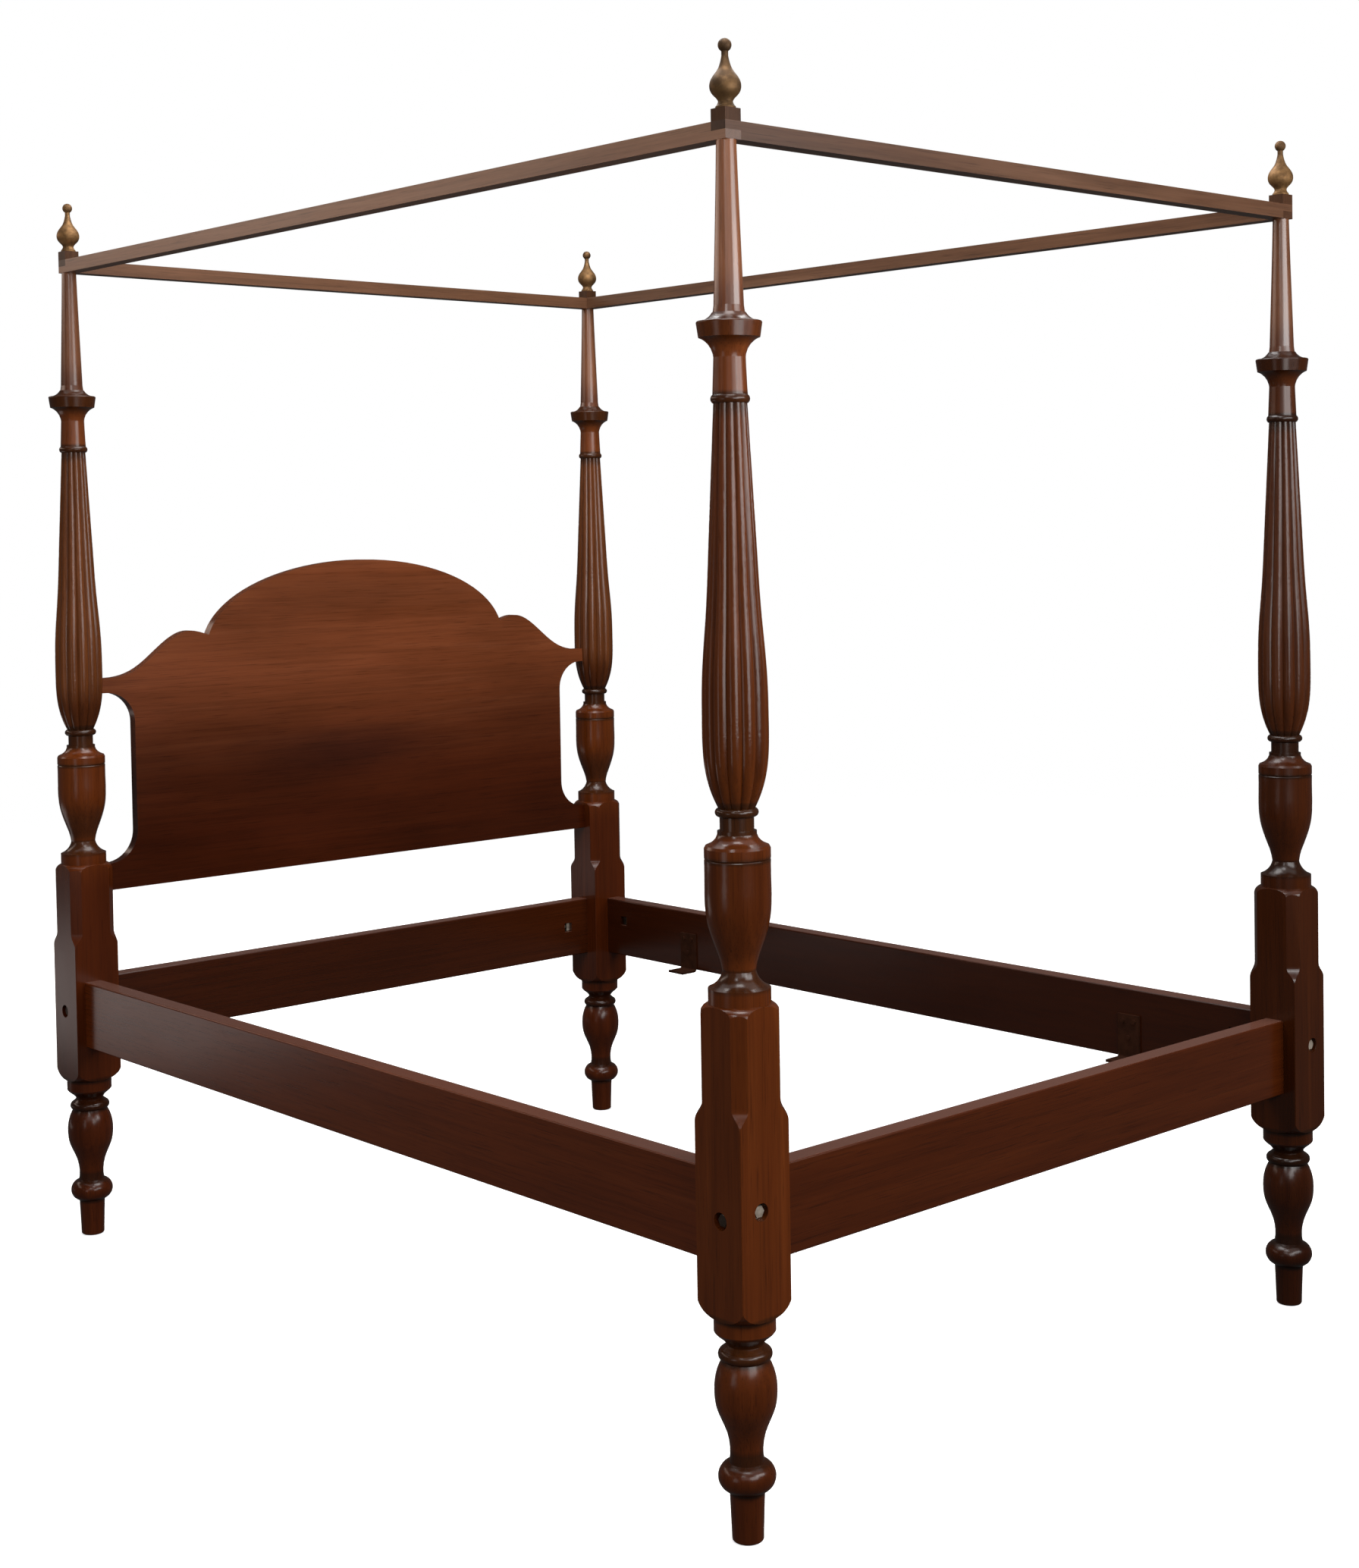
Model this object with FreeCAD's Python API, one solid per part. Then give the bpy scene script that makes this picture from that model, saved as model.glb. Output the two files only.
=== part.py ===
import FreeCAD, Part
import math
import os

# Lengths are in millimetres: X runs across the bed, Y from foot to head, Z up from the floor.

# Layout
post_spacing_across = 1380.0
post_spacing_along = 1990.0
post_stock = 96.0
overrun = 5.0
fit_gap = 0.2

# Turned foot, from the floor up
foot_tip_radius = 23.0
foot_tip_round = 4.0
foot_shank_radius = 25.6
foot_shank_height = 73.0
foot_bead_radius = 42.0
foot_bead_height = 42.0
vase_neck_radius = 24.1
vase_neck_rise = 17.0
vase_belly_radius = 45.5
vase_lower_height = 83.0
vase_top_radius = 34.2
vase_upper_height = 48.0
foot_ring_radius = 39.4
foot_ring_height = 16.0
foot_cove_radius = 27.0
foot_cove_drop = 6.0
foot_cove_height = 26.0
foot_collar_radius = 44.8
foot_collar_height = 21.0

# Square block with a rounded lower shoulder, plain arrises, and lamb's tongue chamfers above
pommel_height = 24.0
plain_block_height = 280.0
tongue_length = 30.0
chamfered_block_height = 140.0
chamfer_leg = 17.0
arris_leg = 1.0
block_shoulder_height = 13.0

# Urn that stands on the block
urn_base_radius = 45.3
urn_base_height = 22.0
urn_stem_radius = 24.0
urn_stem_height = 24.0
urn_radius = 47.8
urn_height = 175.0
urn_rim_height = 4.0
urn_groove_drop = 14.0
urn_groove_height = 3.0
urn_groove_depth = 1.3
urn_shoulder_radius = 28.4
urn_shoulder_height = 16.0
urn_neck_radius = 24.6
urn_step_height = 5.0
urn_neck_height = 19.5
shaft_ring_radius = 31.3
shaft_ring_height = 12.5
ring_lip = 1.0

# Reeded shaft
reed_count = 12
reed_station_count = 15
reed_valley_share = 0.88
shaft_foot_radius = 26.5
shaft_belly_radius = 47.6
shaft_belly_rise = 111.0
shaft_top_radius = 24.2
shaft_taper_height = 462.0

# Neck and collar at the top of the lower post
neck_ring_radius = 28.2
neck_ring_height = 12.0
neck_lower_radius = 25.2
neck_upper_radius = 23.0
neck_height = 52.5
collar_cove_height = 28.0
collar_radius = 47.0
collar_rim_taper = 3.0
collar_edge_round = 2.5
collar_rim_height = 23.0
collar_top_radius = 24.3
collar_slope_height = 12.0

# Slim canopy post on a turned spigot
canopy_post_base_radius = 23.0
canopy_post_foot_radius = 21.6
canopy_post_foot_height = 10.0
canopy_post_waist_radius = 17.0
canopy_post_top_radius = 14.4
canopy_post_height = 241.5
spigot_radius = 11.0
spigot_length = 40.0

# Tester rails, the pins that hold them, square plinths on the corners, and the finials
tester_rail_width = 30.0
tester_rail_height = 26.0
pin_radius = 4.0
pin_depth = 40.0
pin_rise = 28.0
pin_press_gap = 0.05
pin_slip_gap = 0.3
plinth_height = 18.0
finial_foot_radius = 14.6
finial_foot_height = 2.5
finial_waist_radius = 10.6
finial_waist_rise = 10.0
finial_bulb_radius = 22.6
finial_bulb_rise = 20.5
finial_neck_radius = 5.0
finial_neck_rise = 43.0
finial_ball_radius = 9.8
finial_ball_height = 25.0

# Bed rails with stub tenons
rail_rise = 75.0
rail_height = 135.0
rail_thickness = 38.0
side_rail_inset = 20.0
end_rail_inset = 25.0
rail_edge_round = 3.0
tenon_thickness = 20.0
tenon_height = 95.0
tenon_length = 18.0

# Bed bolts, washers and captive nuts
bolt_radius = 4.75
bolt_hole_radius = 5.25
bolt_reach = 78.0
bolt_head_flats = 16.0
bolt_head_height = 7.0
counterbore_radius = 13.0
counterbore_depth = 14.0
washer_radius = 12.0
washer_thickness = 2.5
side_bolt_rise = 85.0
end_bolt_rise = 71.0
nut_width = 19.0
nut_thickness = 9.0
nut_setback = 50.0
nut_pocket_length = 22.0
nut_pocket_height = 22.0

# Shaped headboard
headboard_thickness = 22.0
ear_tenon_depth = 27.0
lower_ear_drop = 7.0
lower_ear_height = 56.0
upper_ear_rise = 72.0
upper_ear_height = 31.0
upper_ear_length = 12.0
cutout_width = 71.0
cutout_radius = 64.0
shoulder_rise = 91.0
notch_rise = 80.5
shoulder_width = 47.0
arch_rise = 234.0
arch_height = 185.0
arch_half_width = 397.5

# Angle-iron hangers for a box spring
hanger_from_post = 350.0
hanger_width = 50.0
hanger_thickness = 5.0
hanger_leg = 90.0
hanger_seat = 40.0
hanger_bend_radius = 3.0
hanger_screw_radius = 2.4
hanger_screw_length = 25.0
hanger_screw_head_radius = 4.8
hanger_screw_head_height = 2.6
hanger_upper_screw_rise = 72.0
hanger_lower_screw_rise = 40.0
hanger_screw_spread = 26.0

# Curves between two named ends, as shares of the way in radius and in height
pommel_shares = ((0.66, 0.42),)
block_shoulder_shares = ((0.38, 0.70),)
foot_cove_shares = ((0.30, 0.42), (0.72, 0.72))
urn_stem_shares = ((0.68, 0.42),)
swell_shares = ((0.22, 0.33), (0.52, 0.52), (0.86, 0.74))
close_shares = ((0.05, 0.33), (0.31, 0.63))
urn_shares = ((0.20, 0.133), (0.47, 0.244), (0.90, 0.465), (1.0, 0.80))
urn_shoulder_shares = ((0.45, 0.22), (0.82, 0.58))
collar_cove_shares = ((0.11, 0.35), (0.42, 0.72))
collar_slope_shares = ((0.56, 0.26),)
shaft_swell_shares = ((0.0, 0.0), (0.33, 0.15), (0.72, 0.37), (0.93, 0.62), (1.0, 1.0))
shaft_taper_shares = ((0.08, 0.19), (0.33, 0.35), (0.57, 0.57), (0.75, 0.75), (1.0, 1.0))
finial_foot_shares = ((0.62, 0.40),)
finial_bulb_shares = ((0.22, 0.22), (0.62, 0.46), (0.90, 0.72))
finial_drop_shares = ((0.10, 0.21), (0.37, 0.39), (0.67, 0.56), (0.86, 0.75))
canopy_waist_share = 0.62
ear_curve_share = 0.36
ear_drop_share = 0.39
notch_dip_share = 0.32

# Levels, added up from the floor
bead_level = foot_shank_height
vase_level = bead_level + foot_bead_height
vase_neck_level = vase_level + vase_neck_rise
vase_belly_level = vase_neck_level + vase_lower_height
foot_ring_level = vase_belly_level + vase_upper_height
foot_cove_level = foot_ring_level + foot_ring_height
foot_collar_level = foot_cove_level + foot_cove_height
block_level = foot_collar_level + foot_collar_height
tongue_level = block_level + plain_block_height
block_top_level = tongue_level + tongue_length + chamfered_block_height
urn_stem_level = block_top_level + urn_base_height
urn_level = urn_stem_level + urn_stem_height
urn_rim_level = urn_level + urn_height
urn_shoulder_level = urn_rim_level + urn_rim_height
urn_step_level = urn_shoulder_level + urn_shoulder_height
shaft_ring_level = urn_step_level + urn_step_height + urn_neck_height
shaft_level = shaft_ring_level + shaft_ring_height
shaft_belly_level = shaft_level + shaft_belly_rise
neck_ring_level = shaft_belly_level + shaft_taper_height
neck_level = neck_ring_level + neck_ring_height
collar_cove_level = neck_level + neck_height
collar_level = collar_cove_level + collar_cove_height
collar_slope_level = collar_level + collar_rim_height
post_top_level = collar_slope_level + collar_slope_height
tester_level = post_top_level + canopy_post_height
plinth_level = tester_level + tester_rail_height
finial_level = plinth_level + plinth_height
rail_level = block_level + rail_rise
side_bolt_level = rail_level + side_bolt_rise
end_bolt_level = rail_level + end_bolt_rise

# Places shared by several pieces
half_across = post_spacing_across / 2
half_along = post_spacing_along / 2
half_stock = post_stock / 2
inner_across = half_across - half_stock
inner_along = half_along - half_stock
side_rail_centre = half_across + half_stock - side_rail_inset - rail_thickness / 2
end_rail_centre = half_along + half_stock - end_rail_inset - rail_thickness / 2
hanger_along = half_along - hanger_from_post
up = FreeCAD.Vector(0, 0, 1)
axis_base = FreeCAD.Vector(0, 0, 0)
ends = {"foot": -1, "head": 1}
sides = {"left": -1, "right": 1}
corners = [(end, side) for end in ends for side in sides]


def between(start, finish, shares):
    """Points part of the way from one (radius, height) to another."""
    return [(start[0] + share[0] * (finish[0] - start[0]), start[1] + share[1] * (finish[1] - start[1]))
            for share in shares]


def smooth(points):
    """Smooth edge through the points."""
    curve = Part.BSplineCurve()
    curve.interpolate(points)
    return curve.toShape()


def profile(start, steps):
    """Edges of a profile. A step of one point is straight, of two an arc, and of more a smooth curve."""
    edges = []
    last = start
    for step in steps:
        points = [FreeCAD.Vector(radius, 0, height) for radius, height in [last] + step]
        if len(points) == 2:
            edges.append(Part.LineSegment(points[0], points[1]).toShape())
        elif len(points) == 3:
            edges.append(Part.Arc(points[0], points[1], points[2]).toShape())
        else:
            edges.append(smooth(points))
        last = step[-1]
    return edges


def turned(start, steps):
    """Solid of revolution about Z whose profile starts and ends on the axis."""
    wire = Part.Wire(profile(start, steps + [[start]]))
    return Part.Face(wire).revolve(axis_base, up, 360)


def box(centre, size):
    """Block of the given size about a centre."""
    corner = FreeCAD.Vector(*[middle - length / 2 for middle, length in zip(centre, size)])
    return Part.makeBox(size[0], size[1], size[2], corner)


def rod(start, direction, length, radius):
    """Cylinder from a start point along a direction."""
    return Part.makeCylinder(radius, length, FreeCAD.Vector(*start), FreeCAD.Vector(*direction))


def save(name, shape):
    """Write one named piece."""
    shape.exportStep("parts/" + name + ".step")


def turned_foot():
    """Tapered foot, bead, vase, ring and cove under the square block."""
    bead_middle = bead_level + foot_bead_height / 2
    ring_middle = foot_ring_level + foot_ring_height / 2
    vase_neck = (vase_neck_radius, vase_neck_level)
    vase_belly = (vase_belly_radius, vase_belly_level)
    vase_top = (vase_top_radius, foot_ring_level)
    cove_start = (vase_top_radius, foot_cove_level)
    cove_low = (foot_cove_radius, foot_cove_level + foot_cove_drop)
    cove_end = (foot_collar_radius, foot_collar_level)
    swell = between(vase_neck, vase_belly, swell_shares)
    close = between(vase_belly, vase_top, close_shares)
    bend = foot_tip_round * (1 - math.sqrt(0.5))
    return turned((0, 0), [
        [(foot_tip_radius - foot_tip_round, 0)],
        [(foot_tip_radius - bend, bend), (foot_tip_radius, foot_tip_round)],
        [(foot_shank_radius, bead_level)],
        [(foot_bead_radius, bead_middle), (foot_shank_radius, vase_level)],
        [vase_neck] + swell + [vase_belly] + close + [vase_top],
        [(foot_ring_radius, ring_middle), cove_start],
        [cove_low],
        between(cove_low, cove_end, foot_cove_shares) + [cove_end],
        [(foot_collar_radius, block_level)],
        [(0, block_level)],
    ])


def chamfer_cutter():
    """Wedge that takes one arris off the block: wide above, a curved tongue, and a small flat below."""
    corner = half_stock * math.sqrt(2)
    wide = corner - chamfer_leg / math.sqrt(2)
    narrow = corner - arris_leg / math.sqrt(2)
    outside = corner + overrun
    tongue_top = tongue_level + tongue_length
    base = FreeCAD.Vector(narrow, 0, block_level - overrun)
    tip = FreeCAD.Vector(narrow, 0, tongue_level)
    root = FreeCAD.Vector(wide, 0, tongue_top)
    head = FreeCAD.Vector(wide, 0, block_top_level + overrun)
    curve = Part.BSplineCurve()
    curve.interpolate([tip, (tip + root) / 2, root], InitialTangent=up, FinalTangent=up)
    edges = [
        Part.LineSegment(base, tip).toShape(),
        curve.toShape(),
        Part.LineSegment(root, head).toShape(),
        Part.LineSegment(head, FreeCAD.Vector(outside, 0, head.z)).toShape(),
        Part.LineSegment(FreeCAD.Vector(outside, 0, head.z), FreeCAD.Vector(outside, 0, base.z)).toShape(),
        Part.LineSegment(FreeCAD.Vector(outside, 0, base.z), base).toShape(),
    ]
    width = 3 * chamfer_leg
    face = Part.Face(Part.Wire(edges))
    face.translate(FreeCAD.Vector(0, -width / 2, 0))
    return face.extrude(FreeCAD.Vector(0, width, 0))


def square_block():
    """Square part of the post between its turned shoulders."""
    corner = half_stock * math.sqrt(2)
    octagon_corner = math.hypot(half_stock, half_stock - chamfer_leg)
    height = block_top_level - block_level
    pommel_top = block_level + pommel_height
    shoulder = block_top_level - block_shoulder_height
    pommel_start = (foot_collar_radius, block_level)
    pommel_end = (corner, pommel_top)
    shoulder_start = (octagon_corner, shoulder)
    shoulder_end = (urn_base_radius, block_top_level)
    envelope = turned((0, block_level), [
        [pommel_start],
        between(pommel_start, pommel_end, pommel_shares) + [pommel_end],
        [(corner, tongue_level + tongue_length)],
        [shoulder_start],
        between(shoulder_start, shoulder_end, block_shoulder_shares) + [shoulder_end],
        [(0, block_top_level)],
    ])
    block = box((0, 0, block_level + height / 2), (post_stock, post_stock, height)).common(envelope)
    cutter = chamfer_cutter()
    for quarter in range(4):
        wedge = cutter.copy()
        wedge.rotate(axis_base, up, 45 + 90 * quarter)
        block = block.cut(wedge)
    return block


def turned_urn():
    """Round base, stem, urn with a scribed line, neck and ring between the block and the reeded shaft."""
    stem = (urn_stem_radius, urn_level)
    groove_top = urn_rim_level - urn_groove_drop
    groove_middle = (urn_radius - urn_groove_depth, groove_top - urn_groove_height / 2)
    body_top = (urn_radius, groove_top - urn_groove_height)
    shoulder = (urn_radius - urn_rim_height / 2, urn_shoulder_level)
    step = (urn_shoulder_radius, urn_step_level)
    base_edge = (urn_base_radius, urn_stem_level)
    return turned((0, block_top_level), [
        [(urn_base_radius, block_top_level)],
        [base_edge],
        between(base_edge, stem, urn_stem_shares) + [stem],
        between(stem, body_top, urn_shares) + [body_top],
        [groove_middle],
        [(urn_radius, groove_top)],
        [(urn_radius, urn_rim_level)],
        [shoulder],
        between(shoulder, step, urn_shoulder_shares) + [step],
        [(urn_shoulder_radius, urn_step_level + urn_step_height)],
        [(urn_neck_radius, urn_step_level + urn_step_height)],
        [(urn_neck_radius, shaft_ring_level)],
        [(shaft_ring_radius, shaft_ring_level + shaft_ring_height / 2),
         (shaft_foot_radius + ring_lip, shaft_level)],
        [(0, shaft_level)],
    ])


def reed_section(radius, height):
    """Outline of the shaft at one height, with a rounded rib for each reed."""
    pitch = 2 * math.pi / reed_count
    valley = radius * reed_valley_share

    def around(distance, steps):
        return FreeCAD.Vector(distance * math.cos(steps * pitch), distance * math.sin(steps * pitch), height)

    ribs = []
    for reed in range(reed_count):
        rib = Part.Arc(around(valley, reed), around(radius, reed + 0.5), around(valley, reed + 1))
        ribs.append(rib.toShape())
    return Part.Wire(ribs)


def reeded_shaft():
    """Vase-shaped shaft carved with reeds from ring to ring."""
    foot = (shaft_foot_radius, shaft_level)
    belly = (shaft_belly_radius, shaft_belly_level)
    top = (shaft_top_radius, neck_ring_level)
    points = between(foot, belly, shaft_swell_shares) + between(belly, top, shaft_taper_shares)
    outline = smooth([FreeCAD.Vector(radius, 0, height) for radius, height in points])
    stations = outline.discretize(reed_station_count)
    return Part.makeLoft([reed_section(station.x, station.z) for station in stations], True)


def turned_collar():
    """Ring, smooth neck and wide collar at the top of the lower post."""
    neck_end = (neck_upper_radius, collar_cove_level)
    rim_start = (collar_radius - collar_rim_taper, collar_level)
    rim_end = (collar_radius, collar_slope_level - collar_edge_round)
    bend = collar_edge_round * (1 - math.sqrt(0.5))
    slope_start = (collar_radius - collar_edge_round, collar_slope_level)
    slope_end = (collar_top_radius, post_top_level)
    return turned((0, neck_ring_level), [
        [(shaft_top_radius + ring_lip, neck_ring_level)],
        [(neck_ring_radius, neck_ring_level + neck_ring_height / 2), (neck_lower_radius, neck_level)],
        [neck_end],
        between(neck_end, rim_start, collar_cove_shares) + [rim_start],
        [rim_end],
        [(collar_radius - bend, collar_slope_level - bend), slope_start],
        between(slope_start, slope_end, collar_slope_shares) + [slope_end],
        [(0, post_top_level)],
    ])


def bolt_tool(end, side, along):
    """Place and direction of one bed bolt: its outer face, the way it drives in, and its level."""
    if along:
        start = (sides[side] * side_rail_centre, ends[end] * (half_along + half_stock), side_bolt_level)
        return start, (0, -ends[end], 0)
    start = (sides[side] * (half_across + half_stock), ends[end] * end_rail_centre, end_bolt_level)
    return start, (-sides[side], 0, 0)


def moved(start, direction, distance):
    """Point a distance along a direction."""
    return tuple(place + way * distance for place, way in zip(start, direction))


def rail_tenons(end, side, gap):
    """Stub tenons of the two rails that meet at one post, grown by a gap for the mortises."""
    middle = rail_level + rail_height / 2
    thickness = tenon_thickness + 2 * gap
    height = tenon_height + 2 * gap
    length = tenon_length + gap
    along = box((sides[side] * side_rail_centre, ends[end] * (inner_along + length / 2), middle),
                (thickness, length, height))
    across = box((sides[side] * (inner_across + length / 2), ends[end] * end_rail_centre, middle),
                 (length, thickness, height))
    return along, across


def bolt_holes(end, side):
    """Counterbored holes for the two bolts that cross in one post."""
    holes = []
    for along in (True, False):
        start, drive = bolt_tool(end, side, along)
        mouth = moved(start, drive, -overrun)
        holes.append(rod(mouth, drive, post_stock + 2 * overrun, bolt_hole_radius))
        holes.append(rod(mouth, drive, counterbore_depth + overrun, counterbore_radius))
    return holes


def ear_mortises(side):
    """Pockets for the headboard's two ears in a head post."""
    lower_top = block_top_level - lower_ear_drop
    upper_bottom = shaft_level + upper_ear_rise
    reach = ear_tenon_depth + fit_gap
    pockets = []
    for bottom, height, radius in ((lower_top - lower_ear_height, lower_ear_height, half_stock),
                                   (upper_bottom, upper_ear_height, shaft_belly_radius)):
        length = reach + overrun
        centre = half_across - radius + reach - length / 2
        pockets.append(box((sides[side] * centre, half_along, bottom + height / 2),
                           (length, headboard_thickness + 2 * fit_gap, height + 2 * fit_gap)))
    return pockets


def lower_post_blank():
    """Lower post before its joints are cut, on the Z axis."""
    post = turned_foot().fuse([square_block(), turned_urn(), reeded_shaft(), turned_collar()])
    socket = rod((0, 0, post_top_level - spigot_length - fit_gap), (0, 0, 1), spigot_length + overrun,
                 spigot_radius + fit_gap)
    return post.cut(socket)


def lower_post(blank, end, side):
    """Post at one corner with its mortises and bolt holes."""
    post = blank.copy()
    post.translate(FreeCAD.Vector(sides[side] * half_across, ends[end] * half_along, 0))
    tools = list(rail_tenons(end, side, fit_gap)) + bolt_holes(end, side)
    if end == "head":
        tools = tools + ear_mortises(side)
    return post.cut(tools)


def canopy_post_blank():
    """Slim tapered post with a spigot below and a pin hole in its top."""
    waist_level = post_top_level + canopy_waist_share * canopy_post_height
    foot_level = post_top_level + canopy_post_foot_height
    taper_middle = ((canopy_post_foot_radius + canopy_post_waist_radius) / 2, (foot_level + waist_level) / 2)
    post = turned((0, post_top_level - spigot_length), [
        [(spigot_radius, post_top_level - spigot_length)],
        [(spigot_radius, post_top_level)],
        [(canopy_post_base_radius, post_top_level)],
        [(canopy_post_foot_radius, foot_level)],
        [taper_middle, (canopy_post_waist_radius, waist_level), (canopy_post_top_radius, tester_level)],
        [(0, tester_level)],
    ])
    hole = rod((0, 0, tester_level - pin_depth), (0, 0, 1), pin_depth + overrun, pin_radius + pin_press_gap)
    return post.cut(hole)


def finial_blank():
    """Turned finial: flared foot, waist, bulb, slender neck and ball, bored for its pin."""
    foot_top = (finial_foot_radius, finial_level + finial_foot_height)
    waist = (finial_waist_radius, finial_level + finial_waist_rise)
    bulb = (finial_bulb_radius, waist[1] + finial_bulb_rise)
    neck = (finial_neck_radius, bulb[1] + finial_neck_rise)
    ball_top = neck[1] + finial_ball_height
    ball_middle = ball_top - finial_ball_radius
    ball_seat = ball_middle - math.sqrt(finial_ball_radius ** 2 - finial_neck_radius ** 2)
    finial = turned((0, finial_level), [
        [(finial_foot_radius, finial_level)],
        [foot_top],
        between(foot_top, waist, finial_foot_shares) + [waist],
        between(waist, bulb, finial_bulb_shares) + [bulb] + between(bulb, neck, finial_drop_shares) + [neck],
        [(finial_neck_radius, ball_seat)],
        [(finial_ball_radius, ball_middle), (0, ball_top)],
    ])
    bore = rod((0, 0, finial_level - overrun), (0, 0, 1), overrun + pin_rise + fit_gap,
               pin_radius + pin_slip_gap)
    return finial.cut(bore)


def plinth_blank():
    """Square plinth, flush with the tester rails, bored for the pin."""
    block = box((0, 0, plinth_level + plinth_height / 2),
                (tester_rail_width, tester_rail_width, plinth_height))
    return block.cut(rod((0, 0, plinth_level - overrun), (0, 0, 1), plinth_height + 2 * overrun,
                         pin_radius + pin_slip_gap))


def tester_rail(length, along, sign, lap_on_top):
    """One tester rail with half-lapped ends and a pin hole in each lap."""
    reach = half_across if along else half_along
    place = sign * reach
    full = length + tester_rail_width
    middle = tester_level + tester_rail_height / 2

    def size(run, height):
        return (tester_rail_width, run, height) if along else (run, tester_rail_width, height)

    def at(run, height):
        return (place, run, height) if along else (run, place, height)

    rail = box(at(0, middle), size(full, tester_rail_height))
    lap_height = tester_rail_height / 2
    cut_level = middle - lap_height / 2 if lap_on_top else middle + lap_height / 2
    for tip in (-1, 1):
        run = tip * length / 2
        lap = box(at(run, cut_level), size(tester_rail_width, lap_height))
        hole = rod(at(run, tester_level - overrun), (0, 0, 1), tester_rail_height + 2 * overrun,
                   pin_radius + pin_slip_gap)
        rail = rail.cut([lap, hole])
    return rail


def rounded_bar(centre, size, length_axis):
    """Bar with its four long edges rounded."""
    bar = box(centre, size)
    long_edges = [edge for edge in bar.Edges if abs(edge.tangentAt(edge.FirstParameter)[length_axis]) > 0.5]
    return bar.makeFillet(rail_edge_round, long_edges)


def nut_place(start, drive):
    """Centre of the captive nut on a bolt that starts at the given outer face."""
    return moved(start, drive, post_stock + nut_setback + nut_thickness / 2)


def nut_pocket(start, drive, along):
    """Pocket for one nut, open on the rail's inner face."""
    inward = (-math.copysign(1, start[0]), 0, 0) if along else (0, -math.copysign(1, start[1]), 0)
    wall = moved(start, drive, post_stock + nut_setback + nut_pocket_length / 2)
    depth = rail_thickness / 2 + nut_width / 2 + fit_gap + overrun
    centre = moved(wall, inward, (rail_thickness / 2 + overrun) - depth / 2)
    if along:
        return box(centre, (depth, nut_pocket_length, nut_pocket_height))
    return box(centre, (nut_pocket_length, depth, nut_pocket_height))


def bed_rail(along, sign):
    """Side rail (along) or end rail (across) with tenons, bolt holes, nut pockets and screw holes."""
    middle = rail_level + rail_height / 2
    if along:
        name = "left" if sign < 0 else "right"
        rail = rounded_bar((sign * side_rail_centre, 0, middle),
                           (rail_thickness, 2 * inner_along, rail_height), 1)
        spots = [(end, name) for end in ends]
    else:
        name = "foot" if sign < 0 else "head"
        rail = rounded_bar((0, sign * end_rail_centre, middle),
                           (2 * inner_across, rail_thickness, rail_height), 0)
        spots = [(name, side) for side in sides]
    rail = rail.fuse([rail_tenons(end, side, 0)[0 if along else 1] for end, side in spots])
    tools = []
    for end, side in spots:
        start, drive = bolt_tool(end, side, along)
        tools.append(rod(start, drive, post_stock + bolt_reach + overrun, bolt_hole_radius))
        tools.append(nut_pocket(start, drive, along))
    if along:
        for end in ends:
            tools += [rod(place, drive, hanger_thickness + hanger_screw_length + overrun,
                          hanger_screw_radius + fit_gap) for place, drive in hanger_screw_places(end, name)]
    return rail.cut(tools)


def hanger_face(side):
    """X of the side rail's inner face."""
    return sides[side] * (side_rail_centre - rail_thickness / 2)


def hanger_screw_places(end, side):
    """Start and direction of each screw through one hanger, from the hanger's inner face."""
    face = hanger_face(side) - sides[side] * hanger_thickness
    along = ends[end] * hanger_along
    spots = [(-hanger_screw_spread / 2, hanger_upper_screw_rise),
             (hanger_screw_spread / 2, hanger_upper_screw_rise),
             (0, hanger_lower_screw_rise)]
    return [((face, along + shift, rail_level + rise), (sides[side], 0, 0)) for shift, rise in spots]


def hanger(end, side):
    """Bent angle-iron hanger screwed to the inner face of a side rail."""
    toward = -sides[side]
    face = hanger_face(side)
    bottom = rail_level - hanger_thickness
    seat_edge = face + toward * (hanger_thickness + hanger_seat)
    inside = face + toward * hanger_thickness
    outer_bend = hanger_bend_radius + hanger_thickness
    half_way = 1 - math.sqrt(0.5)

    def at(x, z):
        return FreeCAD.Vector(x, ends[end] * hanger_along - hanger_width / 2, z)

    points = [at(face, bottom + hanger_leg), at(face, bottom + outer_bend),
              at(face + toward * outer_bend, bottom), at(seat_edge, bottom),
              at(seat_edge, rail_level), at(inside + toward * hanger_bend_radius, rail_level),
              at(inside, rail_level + hanger_bend_radius), at(inside, bottom + hanger_leg)]
    outer_middle = at(face + toward * outer_bend * half_way, bottom + outer_bend * half_way)
    inner_middle = at(inside + toward * hanger_bend_radius * half_way,
                      rail_level + hanger_bend_radius * half_way)
    edges = []
    for index, point in enumerate(points):
        following = points[(index + 1) % len(points)]
        if index == 1:
            edges.append(Part.Arc(point, outer_middle, following).toShape())
        elif index == 5:
            edges.append(Part.Arc(point, inner_middle, following).toShape())
        else:
            edges.append(Part.LineSegment(point, following).toShape())
    iron = Part.Face(Part.Wire(edges)).extrude(FreeCAD.Vector(0, hanger_width, 0))
    depth = hanger_thickness + 2 * overrun
    holes = [rod(moved(place, drive, -overrun), drive, depth, hanger_screw_radius + fit_gap)
             for place, drive in hanger_screw_places(end, side)]
    return iron.cut(holes)


def hanger_screw(place, drive):
    """Pan-head screw through a hanger into the rail."""
    head = rod(moved(place, drive, -hanger_screw_head_height), drive, hanger_screw_head_height,
               hanger_screw_head_radius)
    shank = rod(place, drive, hanger_thickness + hanger_screw_length, hanger_screw_radius)
    return head.fuse(shank).removeSplitter()


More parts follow.
